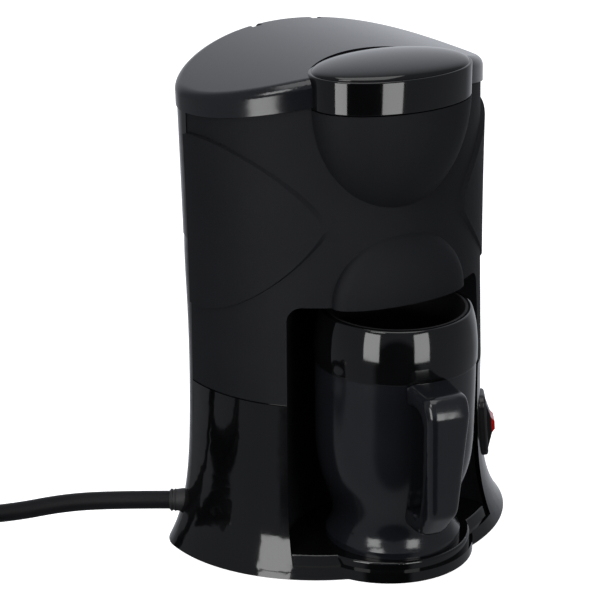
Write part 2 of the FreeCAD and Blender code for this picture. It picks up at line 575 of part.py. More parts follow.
# Water side: tank, valve, hoses, heater, riser, arm, shower disc
tank_room = size("wall") + size("tank_gap")
tank_span = slab(TANK_LOW, size("tank_top_z"))
behind = Part.makeBox(2 * FAR, FAR, FAR, Vector(-FAR, size("tank_front_y"), 0))
tank_inside = skin(HIGH_LEVELS, tank_room + size("tank_wall")).common(
    slab(TANK_LOW + size("tank_wall"), FAR))
tank_inside = tank_inside.cut(slab(-FAR, 0)).common(behind.translated(Vector(0, size("tank_wall"), 0)))
tank = skin(HIGH_LEVELS, tank_room).common(tank_span).common(behind).cut(tank_inside)
riser_foot = Vector(PIPE_X, size("riser_y"), 0)
feed_foot = Vector(PIPE_X, size("feed_y"), 0)
for foot in (riser_foot, feed_foot):
    tank = tank.cut(Part.makeCylinder(size("pipe_r"), FAR, foot).common(slab(0, TANK_LOW + size("pipe_r"))))
moulded("water_tank", tank)


def hose(foot_y, top_z):
    low = Vector(PIPE_X + size("bend_r"), foot_y, size("water_z"))
    bend = size("bend_r")
    corner = low + Vector(-bend * math.sin(math.pi / 4), 0, bend * (1 - math.cos(math.pi / 4)))
    turn_end = low + Vector(-bend, 0, bend)
    top = Vector(turn_end.x, foot_y, top_z)
    return [Part.Arc(low, corner, turn_end).toShape(), Part.LineSegment(turn_end, top).toShape()]


valve_low_z = TANK_LOW - size("seal_h") - size("valve_h")
for label, foot_y, top_z in (("feed_hose", size("feed_y"), valve_low_z),
                             ("riser_hose", size("riser_y"), HOSE_JOIN)):
    path = hose(foot_y, top_z)
    moulded(label, pipe(path, size("pipe_r")).cut(pipe(path, size("pipe_bore"))))
valve = cylinder("check_valve", "Sizes.valve_r", "Sizes.valve_h", Vector(feed_foot.x, feed_foot.y, valve_low_z))
keep("check_valve", valve)
seal = cylinder("tank_seal", "Sizes.seal_r", "Sizes.seal_h",
                Vector(feed_foot.x, feed_foot.y, TANK_LOW - size("seal_h")))
keep("tank_seal", seal)
riser = Part.makeCylinder(size("pipe_r"), size("arm_z") - HOSE_JOIN,
                          riser_foot + Vector(0, 0, HOSE_JOIN))
riser = riser.cut(Part.makeCylinder(size("pipe_bore"), FAR, riser_foot))
moulded("riser_tube", riser)
arm = arm_bar(0).cut(Part.makeCylinder(size("pipe_bore"), size("arm_h") / 2, arm_start))
moulded("outlet_arm", arm)
shower = Part.makeCylinder(size("shower_r"), size("shower_h"), arm_end - Vector(0, 0, size("shower_h")))
for k in range(6):
    spot = Vector(math.cos(k * math.tau / 6), math.sin(k * math.tau / 6), 0) * (0.65 * size("shower_r"))
    shower = shower.cut(Part.makeCylinder(1.0, size("shower_h"), arm_end + spot - Vector(0, 0, size("shower_h"))))
moulded("shower_disc", shower)


def u_path(z):
    back, fore = size("feed_y"), size("riser_y")
    start = PIPE_X + size("bend_r")
    end, sweep = size("heater_x"), (size("feed_y") - size("riser_y")) / 2
    return [Part.LineSegment(Vector(start, back, z), Vector(end, back, z)).toShape(),
            Part.Arc(Vector(end, back, z), Vector(end + sweep, (back + fore) / 2, z), Vector(end, fore, z)).toShape(),
            Part.LineSegment(Vector(end, fore, z), Vector(start, fore, z)).toShape()]


heater = pipe(u_path(size("heater_z")), size("heater_r")).fuse(pipe(u_path(size("water_z")), size("water_r")))
moulded("flow_heater", heater.removeSplitter())
heater_top = size("water_z") + size("water_r")
thermostat = cylinder("thermostat", "Sizes.thermostat_r", "Sizes.thermostat_h",
                      Vector(size("heater_x") / 2, size("feed_y"), heater_top))
keep("thermostat", thermostat)
fuse = cylinder("thermal_fuse", "Sizes.fuse_r", "Sizes.fuse_long",
                Vector(-size("fuse_long") / 2, size("riser_y"), heater_top + size("fuse_r")), Vector(1, 0, 0))
keep("thermal_fuse", fuse)
bracket_low = size("plate_z") + size("plate_thick")
bracket_high = size("heater_z") - size("heater_r") - bracket_low
moulded("heater_bracket", block(size("bracket_w"), size("feed_y") - size("riser_y") + 2 * size("heater_r"),
                                size("bracket_thick"), Vector(0, (size("feed_y") + size("riser_y")) / 2,
                                                              bracket_low + bracket_high - size("bracket_thick") / 2)).fuse(
    block(size("bracket_w"), size("bracket_thick"), bracket_high,
          Vector(0, (size("feed_y") + size("riser_y")) / 2, bracket_low + bracket_high / 2))))
terminal = doc.addObject("Part::Box", "terminal_block")
terminal.setExpression("Length", "Sizes.block_long")
terminal.setExpression("Width", "Sizes.block_w")
terminal.setExpression("Height", "Sizes.block_h")
keep("terminal_block", terminal, Placement(Vector(size("block_x") - size("block_long") / 2, size("block_y"), bracket_low),
                                           Rotation()))

# Filter holder, permanent filter and drip spout


def cone(half, depth, low_half, low_depth, low_z, top_z):
    rings = []
    for across, deep, z in ((half, depth, top_z), (low_half, low_depth, low_z)):
        middle = Vector(0, size("pod_y"), z)
        ring = Part.Ellipse(middle + Vector(across, 0, 0), middle + Vector(0, deep, 0), middle)
        rings.append(Part.Wire(ring.toShape()))
    return Part.makeLoft(rings, True, True)


def cup(inset, skin_thick):
    sizes = [size("holder_half"), size("holder_depth"), size("holder_low_half"), size("holder_low_depth")]
    outer = [value - inset for value in sizes]
    inner = [value - inset - skin_thick for value in sizes]
    low = size("holder_low_z") + inset
    return cone(*outer, low, size("holder_top_z")).cut(cone(*inner, low + skin_thick, size("holder_top_z")))


outlet = Part.makeCylinder(size("spout_bore"), FAR, Vector(0, size("pod_y"), 0))
moulded("filter_holder", cup(0, size("holder_wall")).cut(outlet))
moulded("permanent_filter", cup(size("holder_wall") + size("filter_gap"), size("filter_skin")))
spout_high = spout_top.z - size("seam_gap") - SPOUT_TIP
spout = Part.makeCone(size("spout_tip_r"), size("spout_r"), spout_high, Vector(0, size("pod_y"), SPOUT_TIP))
moulded("drip_spout", spout.cut(outlet))

# Mug: shell with waist and belly, liner, collar, handle
mug_place = Placement(Vector(0, size("mug_y"), size("tray_top_z") + size("mug_lift")), Rotation())


def mug_wall(inset):
    foot = Vector(size("mug_foot_r") - inset, 0, 0)
    spots = [Vector(size("mug_foot_r") - inset, 0, size("mug_foot_h")),
             Vector(size("mug_waist_r") - inset, 0, size("mug_waist_h")),
             Vector((size("mug_waist_r") + size("mug_belly_r")) / 2 + 1 - inset, 0, size("mug_belly_h") / 2),
             Vector(size("mug_belly_r") - inset, 0, size("mug_belly_h")),
             Vector(size("mug_belly_r") - inset, 0, size("mug_shell_h"))]
    curve = Part.BSplineCurve()
    curve.interpolate(spots)
    top = Vector(0, 0, size("mug_shell_h"))
    edges = [Part.LineSegment(Vector(0, 0, 0), foot).toShape(), Part.LineSegment(foot, spots[0]).toShape(),
             curve.toShape(), Part.LineSegment(spots[-1], top).toShape(),
             Part.LineSegment(top, Vector(0, 0, 0)).toShape()]
    return Part.Face(Part.Wire(edges)).revolve(Vector(0, 0, 0), UP, 360)


mug_outer = mug_wall(0)
mug_inner = mug_wall(size("mug_wall")).common(slab(size("mug_floor"), FAR))
moulded("mug_shell", mug_outer.cut(mug_inner), mug_place)
rim_h = "Sizes.mug_shell_h + Sizes.collar_h"
turned("mug_collar", [
    ("Sizes.liner_r + Sizes.liner_skin", "Sizes.mug_shell_h"), ("Sizes.collar_r", "Sizes.mug_shell_h"),
    ("Sizes.collar_r", "Sizes.mug_shell_h + Sizes.collar_h / 3"),
    ("Sizes.collar_r - 1", "Sizes.mug_shell_h + Sizes.collar_h * 0.75"),
    ("Sizes.collar_top_r + 1", rim_h), ("Sizes.liner_r + Sizes.liner_skin", rim_h)], mug_place)
liner_low = "Sizes.mug_floor + 1"
turned("mug_liner", [
    ("0", liner_low), ("Sizes.liner_low_r + Sizes.liner_skin", liner_low),
    ("Sizes.liner_r + Sizes.liner_skin", "Sizes.mug_belly_h"), ("Sizes.liner_r + Sizes.liner_skin", rim_h),
    ("Sizes.liner_r", rim_h), ("Sizes.liner_r", "Sizes.mug_belly_h"),
    ("Sizes.liner_low_r", liner_low + " + Sizes.liner_skin"), ("0", liner_low + " + Sizes.liner_skin")], mug_place)

far, low, root, bar = "Sizes.handle_reach", "Sizes.handle_low_h", "Sizes.handle_root", " - Sizes.handle_bar"
top = "Sizes.mug_shell_h + Sizes.handle_over"
leaning, heel = far + " - Sizes.handle_lean", far + " - Sizes.handle_heel_in"
body, pad, place = padded("handle_blank", "XZ_Plane", [
    [(root, top), (leaning, top), (far, top + " - Sizes.handle_brow"), (leaning, low + " + Sizes.handle_heel_h"),
     (heel, low), (root, low + " - Sizes.handle_drop"),
     (root, low + " - Sizes.handle_drop + Sizes.handle_bar"),
     (heel + " - Sizes.handle_drop", low + " + Sizes.handle_bar"),
     (leaning + bar, low + " + Sizes.handle_heel_h + Sizes.handle_brow"),
     (far + bar, top + bar + " - Sizes.handle_lean"),
     (leaning + bar, top + bar), (root, top + bar)]],
    "Sizes.handle_w")
pad.Midplane = True
doc.recompute()
brow_z, foot_z = size("mug_shell_h") + size("handle_over"), size("handle_low_h") - size("handle_drop")
narrowing = [Vector(0, side * width / 2, z) for side, width, z in (
    (-1, size("handle_w"), brow_z), (1, size("handle_w"), brow_z),
    (1, size("handle_foot_w"), foot_z), (-1, size("handle_foot_w"), foot_z))]
handle = body.Shape.common(Part.Face(Part.makePolygon(narrowing + narrowing[:1])).extrude(Vector(FAR, 0, 0)))
outer_bends = [edge for edge in handle.Edges if edge.BoundBox.YLength > size("handle_w") / 3
               and edge.BoundBox.XMin > size("handle_reach") - size("handle_heel_in") - 1]
handle = handle.makeFillet(size("handle_bend_r") / 2, outer_bends)
strap_x = size("handle_reach") - size("handle_lean") - 1
outer_rim = [edge for edge in handle.Edges if edge.BoundBox.YLength < size("handle_w") / 3
             and edge.BoundBox.XMax > size("handle_root") + 0.01
             and (edge.BoundBox.XMax > strap_x or edge.BoundBox.ZMin > brow_z - 0.01
                  or edge.BoundBox.ZMax < size("handle_low_h") + 0.5)]
handle = handle.makeFillet(size("handle_edge_r"), outer_rim)
handle.rotate(Vector(0, 0, 0), UP, size("handle_turn") - 90)
collar_zone = Part.makeCylinder(size("collar_r") + size("seam_gap"), FAR, Vector(0, 0, size("mug_shell_h")))
moulded("mug_handle", handle.cut(mug_outer).cut(collar_zone), mug_place)

# Cord: grommet, lead on the floor, coil with its tie, plug
grommet_parts = [
    Part.makeCylinder(size("grommet_root_r"), size("grommet_inner"), grommet_start, cord_out),
    Part.makeCone(size("grommet_root_r"), size("grommet_tip_r"), size("grommet_long"), cord_root, cord_out)]
moulded("cord_grommet", grommet_parts[0].fuse(grommet_parts[1]).removeSplitter())

cord_back = Vector(cord_out.y, -cord_out.x, 0)


def cord_spot(out, back, z):
    spot = cord_root + cord_out * out + cord_back * back
    return Vector(spot.x, spot.y, z)


FLOOR_Z = size("cord_floor_z")
LEAD_BACK = size("lead_sway")
# Share of the sway and of the fall to the floor at each step along the lead
LEAD_STEPS = ((0.0, 0.0), (0.0, 0.0), (0.3, 0.2), (0.7, 0.75), (1.0, 1.0), (1.0, 1.0))
LEAD_END = size("grommet_long") + size("lead_step") * (len(LEAD_STEPS) - 1)
lead_route = [cord_spot(size("grommet_long") + size("lead_step") * k, LEAD_BACK * sway,
                        size("cord_z") + (FLOOR_Z - size("cord_z")) * fall) for k, (sway, fall) in enumerate(LEAD_STEPS)]


# Straight runs joined by arcs as large as the runs allow
def rounded_route(spots):
    edges, last, radii = [], spots[0], []
    for before, corner, after in zip(spots, spots[1:], spots[2:]):
        inward, onward = (before - corner).normalize(), (after - corner).normalize()
        turn = math.pi - inward.getAngle(onward)
        reach = 0.45 * min((before - corner).Length, (after - corner).Length)
        radius = reach / math.tan(turn / 2)
        radii.append(round(radius, 1))
        start, end = corner + inward * reach, corner + onward * reach
        middle = (inward + onward).normalize() * (radius / math.cos(turn / 2) - radius)
        edges += [Part.LineSegment(last, start).toShape(), Part.Arc(start, corner + middle, end).toShape()]
        last = end
    edges.append(Part.LineSegment(last, spots[-1]).toShape())
    print("lead radii", radii)
    return edges


lead_edges = rounded_route(lead_route)
lead = pipe(lead_edges, size("cord_d") / 2)
lead_length = sum(edge.Length for edge in lead_edges)
print("lead length", round(lead_length, 1), "volume ratio",
      round(lead.Volume / (math.pi * size("cord_d") ** 2 / 4 * lead_length), 4))
moulded("cord_lead", lead)

COIL_START = LEAD_END + size("cord_d")
coil_middle = cord_spot(COIL_START, LEAD_BACK - size("coil_r"), 0)
COIL_END = size("coil_turns") * math.tau
CLIMB_MIDDLE = COIL_END / 2


# A spiral in on the lower layer, a climb of half a turn where it reverses, and a spiral out on the upper
def coil_spot(angle):
    radius = size("coil_r") - size("coil_step") * (CLIMB_MIDDLE - abs(angle - CLIMB_MIDDLE)) / math.tau
    climb = min(max((angle - CLIMB_MIDDLE) / math.pi + 0.5, 0.0), 1.0)
    z = FLOOR_Z + size("coil_step") * climb ** 2 * (3 - 2 * climb)
    spot = coil_middle + cord_out * (radius * math.sin(angle)) + cord_back * (radius * math.cos(angle))
    return Vector(spot.x, spot.y, z)


def coil_heading(angle):
    step = 0.001
    return (coil_spot(angle + step) - coil_spot(angle - step)).normalize()


# Two arcs that leave one point and reach the next along the given headings
def biarc(start, leave, end, arrive):
    span, both, fold = end - start, leave + arrive, 2 * (1 - leave.dot(arrive))
    reach = (-span.dot(both) + math.sqrt(span.dot(both) ** 2 + fold * span.dot(span))) / fold
    joint = (start + end + (leave - arrive) * reach) / 2
    arcs = []
    for first, apex, last in ((start, start + leave * reach, joint), (joint, end - arrive * reach, end)):
        chord = (first + last) / 2
        bend = (apex - first).getAngle(last - first)
        arcs.append(Part.Arc(first, chord + (apex - chord) * (math.tan(bend / 2) / math.tan(bend)), last).toShape())
    return arcs


quarters = int(round(size("coil_turns") * 4))
stops = [COIL_END * k / quarters for k in range(quarters + 1)]
coil_edges = [Part.LineSegment(coil_spot(0) - coil_heading(0) * size("cord_d"), coil_spot(0)).toShape()]
for here, there in zip(stops, stops[1:]):
    coil_edges += biarc(coil_spot(here), coil_heading(here), coil_spot(there), coil_heading(there))
coil_tail = coil_spot(COIL_END) + coil_heading(COIL_END) * size("cord_d")
coil_edges.append(Part.LineSegment(coil_spot(COIL_END), coil_tail).toShape())
coil = pipe(coil_edges, size("cord_d") / 2)
moulded("cord_coil", coil)
beads = [coil_spot(COIL_END * k / 400) for k in range(401)]
least = min((a - b).Length for i, a in enumerate(beads) for b in beads[i + 60:])
coil_length = sum(edge.Length for edge in coil_edges)
print("coil length", round(coil_length, 1), "least gap to itself", round(least - size("cord_d"), 2), "volume ratio",
      round(coil.Volume / (math.pi * size("cord_d") ** 2 / 4 * coil_length), 4))

tie_angle = math.pi
tie_spots = [coil_spot(tie_angle), coil_spot(tie_angle + math.tau)]
tie_middle = (tie_spots[0] + tie_spots[1]) / 2
tie_across = (tie_spots[0] - coil_middle)
tie_across = Vector(tie_across.x, tie_across.y, 0).normalize()
spread = abs((tie_spots[0] - tie_spots[1]).dot(tie_across))
room_w = spread + size("cord_d") + 2 * size("tie_gap")
room_h = size("coil_step") + size("cord_d") + 2 * size("tie_gap")
band = block(room_w + 2 * size("tie_thick"), size("tie_w"), room_h + 2 * size("tie_thick"), Vector(0, 0, 0))
band = band.cut(block(room_w, 2 * size("tie_w"), room_h, Vector(0, 0, 0)))
moulded("cord_tie", band, Placement(tie_middle, Rotation(tie_across, UP.cross(tie_across), UP, "XYZ")))

plug_heading = coil_heading(COIL_END)
plug_heading = Vector(plug_heading.x, plug_heading.y, 0).normalize()
plug_place = Placement(coil_tail, Rotation(UP.cross(plug_heading), UP, plug_heading, "ZXY"))


def plug_ring(width, height, z):
    ring = Part.Ellipse(Vector(width / 2, 0, z), Vector(0, height / 2, z), Vector(0, 0, z))
    return Part.Wire(ring.toShape())


sleeve = 2 * size("plug_sleeve_r")
plug_front = size("plug_sleeve") + size("plug_long")
plug_body = Part.makeLoft([
    plug_ring(sleeve - 1.0, sleeve - 1.1, 0), plug_ring(sleeve, sleeve - 0.1, size("plug_sleeve")),
    plug_ring(size("plug_w") * 0.9, size("plug_h") * 0.9, size("plug_sleeve") + size("plug_long") / 2),
    plug_ring(size("plug_w"), size("plug_h"), plug_front)], True, False)
moulded("plug_body", plug_body, plug_place)
plug_pins = [Part.makeCylinder(size("plug_pin_r"), size("plug_pin_long"),
                               Vector(side * size("plug_pin_step") / 2, 0, plug_front)) for side in (-1, 1)]
moulded("plug_pins", Part.makeCompound(plug_pins), plug_place)

# Test every object, then write one file for each node
doc.recompute()
for item in doc.Objects:
    if "Invalid" in item.State or "Error" in item.State:
        raise RuntimeError("failed object: %s %s" % (item.Name, item.State))
for item in nodes:
    if item.Shape.isNull() or not item.Shape.isValid() or item.Shape.Volume <= 0:
        raise RuntimeError("bad shape: " + item.Label)
os.makedirs("parts", exist_ok=True)
for item in nodes:
    item.Shape.exportStep(os.path.join("parts", item.Label + ".step"))
    box = item.Shape.BoundBox
    print("%-18s %2d solids %10.1f mm3  X %7.1f %7.1f  Y %7.1f %7.1f  Z %7.1f %7.1f" % (
        item.Label, len(item.Shape.Solids), item.Shape.Volume,
        box.XMin, box.XMax, box.YMin, box.YMax, box.ZMin, box.ZMax))
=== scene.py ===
import json
import math

import bmesh
import bpy
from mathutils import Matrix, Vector


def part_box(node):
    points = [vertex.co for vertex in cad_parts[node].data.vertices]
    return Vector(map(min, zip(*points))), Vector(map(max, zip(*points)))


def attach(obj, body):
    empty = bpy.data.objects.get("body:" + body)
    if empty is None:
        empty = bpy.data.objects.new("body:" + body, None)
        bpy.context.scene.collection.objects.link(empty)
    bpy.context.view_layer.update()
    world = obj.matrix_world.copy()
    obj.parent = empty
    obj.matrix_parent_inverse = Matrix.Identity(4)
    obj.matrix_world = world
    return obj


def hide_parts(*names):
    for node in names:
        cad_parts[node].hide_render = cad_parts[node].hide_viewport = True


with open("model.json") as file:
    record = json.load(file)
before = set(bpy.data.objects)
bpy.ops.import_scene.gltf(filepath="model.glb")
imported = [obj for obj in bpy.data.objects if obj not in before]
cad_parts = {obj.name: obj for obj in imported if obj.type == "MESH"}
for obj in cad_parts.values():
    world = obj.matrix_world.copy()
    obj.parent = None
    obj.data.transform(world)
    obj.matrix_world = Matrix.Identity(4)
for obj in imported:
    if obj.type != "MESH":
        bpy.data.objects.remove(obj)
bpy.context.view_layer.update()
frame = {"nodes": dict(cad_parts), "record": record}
NODES = frame["nodes"]
SLOT = {row["node"]: row["material_slot"] for row in frame["record"]["subparts"]}
BODY = {node: body for body, nodes in frame["record"]["behaviour"]["bodies"].items() for node in nodes}
MM = 0.001


# Materials: a wire is one output of a node, and arithmetic on wires makes Math nodes
class Wire:
    def __init__(self, graph, socket):
        self.graph, self.socket = graph, socket

    def math(self, operation, *others):
        return self.graph.node("Math", "Value", dict(enumerate((self,) + others)), operation=operation)

    def __add__(self, other):
        return self.math("ADD", other)

    def __sub__(self, other):
        return self.math("SUBTRACT", other)

    def __mul__(self, other):
        return self.math("MULTIPLY", other)


class Graph:
    def __init__(self, tree):
        self.tree = tree
        tree.nodes.clear()

    def node(self, kind, out=None, inputs=None, **settings):
        item = self.tree.nodes.new("ShaderNode" + kind)
        for key, value in settings.items():
            setattr(item, key, value)
        for key, value in (inputs or {}).items():
            if isinstance(value, Wire):
                self.tree.links.new(value.socket, item.inputs[key])
            else:
                item.inputs[key].default_value = value
        return Wire(self, item.outputs[out]) if out else item

    def noise(self, scale, detail):
        place = self.node("TexCoord", "Object")
        return self.node("TexNoise", "Fac", {"Vector": place, "Scale": scale, "Detail": detail})

    def step(self, value, low, high):
        return self.node("MapRange", "Result", {"Value": value, "From Min": low, "From Max": high})


CLOUD_SCALE, CLOUD_SHARE = 38.0, 0.3
SPECK_SCALE, SPECK_SHARE = 900.0, 0.25
GRAIN_DEPTH = 0.0002


# A finish with a faint cloud, fine specks, and a grain or weave where it has one
def finish(name, colour, rough, metallic=0.0, shine=0.5, grain=0.0, grain_scale=1500.0, smear=0.04,
           coat=0.0, weave=0.0):
    material = bpy.data.materials.new(name)
    material.use_nodes = True
    graph = Graph(material.node_tree)
    cloud = graph.noise(CLOUD_SCALE, 4.0)
    speck = graph.step(graph.noise(SPECK_SCALE, 1.0), 0.74, 0.82)
    paler = [min(1.0, 1.7 * c + 0.01) for c in colour]
    tone = graph.node("Mix", 2, {0: cloud * CLOUD_SHARE + speck * SPECK_SHARE, 6: (*colour, 1.0),
                                 7: (*paler, 1.0)}, data_type="RGBA")
    shader = graph.node("BsdfPrincipled", None, {
        "Base Color": tone, "Roughness": cloud * smear + (rough - smear / 2), "Metallic": metallic,
        "Specular IOR Level": shine, "Coat Weight": coat})
    height = graph.noise(grain_scale, 3.0)
    if weave:
        place = graph.node("TexCoord", "Object")
        bands = [graph.node("TexWave", "Fac", {"Vector": place, "Scale": weave}, bands_direction=axis)
                 for axis in "XZ"]
        height = bands[0].math("MAXIMUM", bands[1])
    if grain:
        bump = graph.node("Bump", "Normal", {"Height": height, "Strength": grain, "Distance": GRAIN_DEPTH})
        graph.tree.links.new(bump.socket, shader.inputs["Normal"])
    output = graph.node("OutputMaterial")
    graph.tree.links.new(shader.outputs[0], output.inputs["Surface"])
    return material


BLACK = (0.001, 0.0011, 0.0014)
LOOK = {
    "gloss": finish("gloss", BLACK, 0.07, smear=0.03),
    "matte": finish("matte", (0.0046, 0.005, 0.0066), 0.66, shine=0.18, grain=0.35, grain_scale=1900.0),
    "satin": finish("satin", (0.0055, 0.006, 0.0078), 0.16, grain=0.05, grain_scale=2600.0),
    "rubber": finish("rubber", (0.008, 0.008, 0.009), 0.6, grain=0.1),
    "steel": finish("steel", (0.55, 0.55, 0.56), 0.32, metallic=1.0, smear=0.12),
    "inner": finish("inner", (0.016, 0.016, 0.018), 0.4, grain=0.1),
    "silicone": finish("silicone", (0.62, 0.58, 0.52), 0.5),
    "aluminium": finish("aluminium", (0.66, 0.67, 0.69), 0.38, metallic=1.0, grain=0.2, smear=0.12),
    "sleeve": finish("sleeve", (0.7, 0.67, 0.56), 0.85, grain=0.8, weave=700.0),
    "mesh": finish("mesh", (0.42, 0.31, 0.1), 0.45, grain=0.9, weave=900.0),
    "switch": finish("switch", (0.008, 0.008, 0.009), 0.33),
    "lens": finish("lens", (0.55, 0.012, 0.01), 0.16, coat=0.6),
    "cord": finish("cord", (0.005, 0.005, 0.006), 0.5, shine=0.12, grain=0.05),
    "plug": finish("plug", (0.011, 0.011, 0.012), 0.42, grain=0.12),
    "nickel": finish("nickel", (0.7, 0.66, 0.58), 0.2, metallic=1.0),
    "liner": finish("liner", (0.008, 0.008, 0.009), 0.5),
}


# A piece that stands for CAD nodes, with their finish, body and slot
def shown(name, mesh, node, *others):
    piece = bpy.data.objects.new(name, mesh)
    bpy.context.scene.collection.objects.link(piece)
    piece.data.materials.clear()
    piece.data.materials.append(LOOK[SLOT[node]])
    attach(piece, BODY[node])
    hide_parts(node, *others)
    return piece


def smooth(mesh, angle=30.0):
    mesh.shade_smooth()
    mesh.set_sharp_from_angle(angle=math.radians(angle))
    return mesh


# A copy of a CAD node with its loose triangles joined
def merged(node):
    work = bmesh.new()
    work.from_mesh(NODES[node].data)
    bmesh.ops.remove_doubles(work, verts=work.verts, dist=2e-6)
    mesh = bpy.data.meshes.new(node + "_skin")
    work.to_mesh(mesh)
    work.free()
    stale = mesh.attributes.get("custom_normal")
    if stale:
        mesh.attributes.remove(stale)
    piece = shown(node + "_skin", smooth(mesh), node)
    broad = piece.modifiers.new("broad_faces_lead", "WEIGHTED_NORMAL")
    broad.weight, broad.keep_sharp = 100, True
    return piece


AROUND = 192


# A closed profile of (inset across, inset along, height) carried round an oval
def carried(name, node, profile, half, depth, centre, angle=30.0):
    work = bmesh.new()
    rings = []
    for k in range(AROUND):
        across, along = math.cos(math.tau * k / AROUND), math.sin(math.tau * k / AROUND)
        rings.append([work.verts.new((centre.x + across * (half - a), centre.y + along * (depth - b), z))
                      for a, b, z in profile])
    for here, there in zip(rings, rings[1:] + rings[:1]):
        for j in range(len(profile)):
            follow = (j + 1) % len(profile)
            work.faces.new((here[j], there[j], there[follow], here[follow]))
    bmesh.ops.remove_doubles(work, verts=work.verts, dist=1e-6)
    bmesh.ops.dissolve_degenerate(work, edges=work.edges, dist=1e-7)
    bmesh.ops.recalc_face_normals(work, faces=work.faces)
    mesh = bpy.data.meshes.new(name)
    work.to_mesh(mesh)
    work.free()
    return shown(name, smooth(mesh, angle), node)


# Rounds each corner of a profile that has a radius
def rounded(corners, steps=6):
    spots = []
    for k, (x, z, radius) in enumerate(corners):
        here = Vector((x, z))
        before, after = Vector(corners[k - 1][:2]), Vector(corners[(k + 1) % len(corners)][:2])
        if not radius:
            spots.append(tuple(here))
            continue
        start = here + (before - here).normalized() * radius
        end = here + (after - here).normalized() * radius
        for j in range(steps + 1):
            t = j / steps
            spots.append(tuple(start * (1 - t) ** 2 + here * 2 * t * (1 - t) + end * t ** 2))
    return spots


# Lid cap: band with soft edges, a ledge and a low crown
low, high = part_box("lid_cap")
half, depth = (high.x - low.x) / 2, (high.y - low.y) / 2
WALL, LEDGE, CROWN, LEANS = 2.4 * MM, 1.4 * MM, 5.5 * MM, 24
band_top = high.z - CROWN


def dome(edge, rise, leans):
    return [(half - (half - edge) * math.cos(t), depth - (depth - edge) * math.cos(t),
             band_top + rise * math.sin(t)) for t in leans]


leans = [math.radians(90 * j / LEANS) for j in range(LEANS + 1)]
band = [(inset, inset, z) for inset, z in rounded([
    (WALL, low.z, 0), (0, low.z, 0.5 * MM), (0, band_top, 0.7 * MM), (LEDGE, band_top, 0)])]
crown = dome(LEDGE, CROWN, leans) + dome(WALL + LEDGE, CROWN - WALL / 2, leans[::-1])
carried("lid_cap_skin", "lid_cap", band + crown + [(WALL, WALL, band_top)], half, depth, (low + high) / 2,
        angle=25.0)

# Mug collar: barrel with a round lip
low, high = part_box("mug_collar")
half = (high.x - low.x) / 2
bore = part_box("mug_liner")
lip = half - (bore[1].x - bore[0].x) / 2
barrel = [(inset, inset, z) for inset, z in rounded([
    (lip, low.z, 0), (0, low.z, 0.8 * MM), (0, low.z + 8.2 * MM, 3 * MM),
    (1.0 * MM, low.z + 18.4 * MM, 4 * MM), (2.9 * MM, high.z, 1.0 * MM), (lip, high.z, 0)])]
carried("mug_collar_skin", "mug_collar", barrel, half, half, (low + high) / 2)

# Cord, in mm: out of the grommet square to the skirt's rear oval, down to the floor, then the coil, in one line
ORIGIN_SHIFT = 11.45
CORD_TURN, CORD_Z, FLOOR_Z, CORD_D = math.radians(149.4), 17.0, 5.5, 8.5
OVAL_HALF, OVAL_REACH, OVAL_Y = 72.5, 34.0, 24.0
FLARE, FLARE_FALL, FLARE_REACH, FLARE_Y = 13.95, 18.0, 0.22, 0.16
flare = FLARE * math.exp(-CORD_Z / FLARE_FALL)
half, reach = OVAL_HALF + flare, OVAL_REACH + FLARE_REACH * flare
oval_y = OVAL_Y - FLARE_Y * flare + ORIGIN_SHIFT
spread = math.hypot(half * math.cos(CORD_TURN), reach * math.sin(CORD_TURN))
cord_root = Vector((half ** 2 * math.cos(CORD_TURN) / spread,
                    oval_y + reach ** 2 * math.sin(CORD_TURN) / spread, 0))
cord_out = Vector((math.cos(CORD_TURN), math.sin(CORD_TURN), 0))
cord_back = Vector((cord_out.y, -cord_out.x, 0))


def cord_spot(out, back, z):
    spot = cord_root + cord_out * out + cord_back * back
    return Vector((spot.x, spot.y, z)) * MM


# Shares of the lead's sway and fall at even steps
LEAD_STEPS = ((0.0, 0.0), (0.0, 0.0), (0.3, 0.2), (0.7, 0.75), (1.0, 1.0), (1.0, 1.0))
LEAD_START, LEAD_STEP, LEAD_SWAY, LEAD_END = 6.0, 24.8, 6.0, 130.0
lead = [cord_spot(LEAD_START + LEAD_STEP * k, LEAD_SWAY * sway, CORD_Z + (FLOOR_Z - CORD_Z) * fall)
        for k, (sway, fall) in enumerate(LEAD_STEPS)]
COIL_R, COIL_STEP, COIL_TURNS, PER_TURN = 51.0, 9.1, 2.25, 24
coil_out, coil_end = LEAD_END + CORD_D, COIL_TURNS * math.tau
route = list(lead)
for k in range(int(COIL_TURNS * PER_TURN) + 1):
    angle = math.tau * k / PER_TURN
    radius = COIL_R - COIL_STEP * (coil_end / 2 - abs(angle - coil_end / 2)) / math.tau
    climb = min(max((angle - coil_end / 2) / math.pi + 0.5, 0.0), 1.0)
    route.append(cord_spot(coil_out + radius * math.sin(angle), LEAD_SWAY - COIL_R + radius * math.cos(angle),
                           FLOOR_Z + COIL_STEP * climb ** 2 * (3 - 2 * climb)))
heading = (route[-1] - route[-2]).normalized()
route.append(route[-1] + Vector((heading.x, heading.y, 0)).normalized() * CORD_D * MM)
line = bpy.data.curves.new("cord_line", "CURVE")
line.dimensions = "3D"
line.bevel_depth, line.bevel_resolution = CORD_D * MM / 2, 6
line.resolution_u, line.use_fill_caps = 8, True
spline = line.splines.new("NURBS")
spline.points.add(len(route) - 1)
for point, spot in zip(spline.points, route):
    point.co = (*spot, 1.0)
spline.order_u = 3
spline.use_endpoint_u = True
cord = shown("cord_line", line, "cord_lead", "cord_coil")

# Ribs of the grommet: rings set along its axis
RIBS, RIB_START, RIB_STEP, RIB_R, BEAD_R = 3, 1.5, 1.8, 4.7, 0.6


